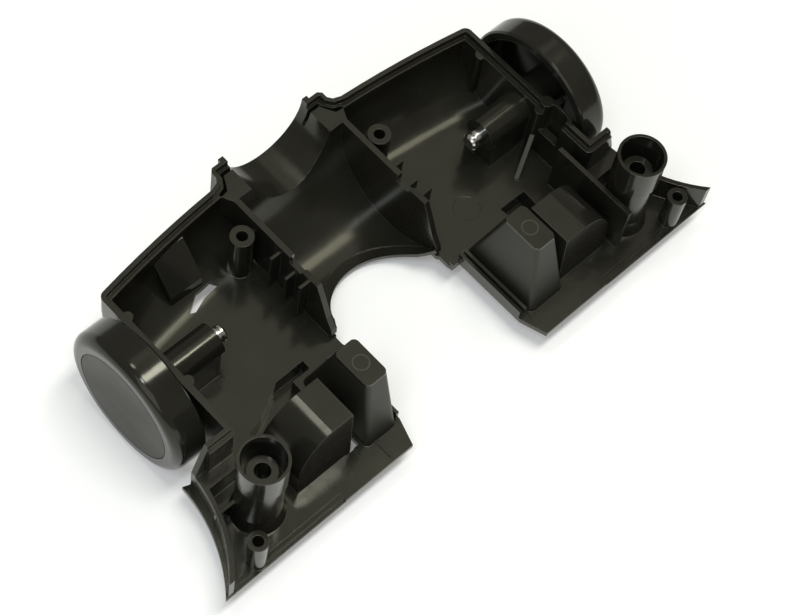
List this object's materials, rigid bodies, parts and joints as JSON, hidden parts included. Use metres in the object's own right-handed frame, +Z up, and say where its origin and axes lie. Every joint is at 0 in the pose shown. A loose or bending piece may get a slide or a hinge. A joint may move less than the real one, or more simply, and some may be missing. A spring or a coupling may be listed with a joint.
{
  "type": "floor head lower housing",
  "caption": "Open moulded lower shell of a vacuum floor head, with a half-round neck seat, a front notch, screw posts and two side wheels on steel axles.",
  "frame": {"origin": "under the middle of the whole part, at the height where the wheels touch the floor", "axes": "+X to the part's right along the axles, +Y to the back where the neck is, +Z up out of the open side"},
  "size_m": [0.2146, 0.106, 0.051],
  "materials": {
    "shell": "polished black moulding",
    "wheel": "polished black moulding",
    "pin": "bright steel pin"
  },
  "bodies": {
    "housing": {"housing": "shell"},
    "wheel_right": {"wheel_right": "wheel", "wheel_face_right": "wheel", "axle_right": "pin"},
    "wheel_left": {"wheel_left": "wheel", "wheel_face_left": "wheel", "axle_left": "pin"}
  },
  "joints": [
    {"name": "wheel_right_spin", "type": "hinge", "parent": "housing", "child": "wheel_right", "pos_m": [0.08, 0.01, 0.0255], "axis": [1, 0, 0], "continuous": true},
    {"name": "wheel_left_spin", "type": "hinge", "parent": "housing", "child": "wheel_left", "pos_m": [-0.08, 0.01, 0.0255], "axis": [1, 0, 0], "continuous": true}
  ]
}
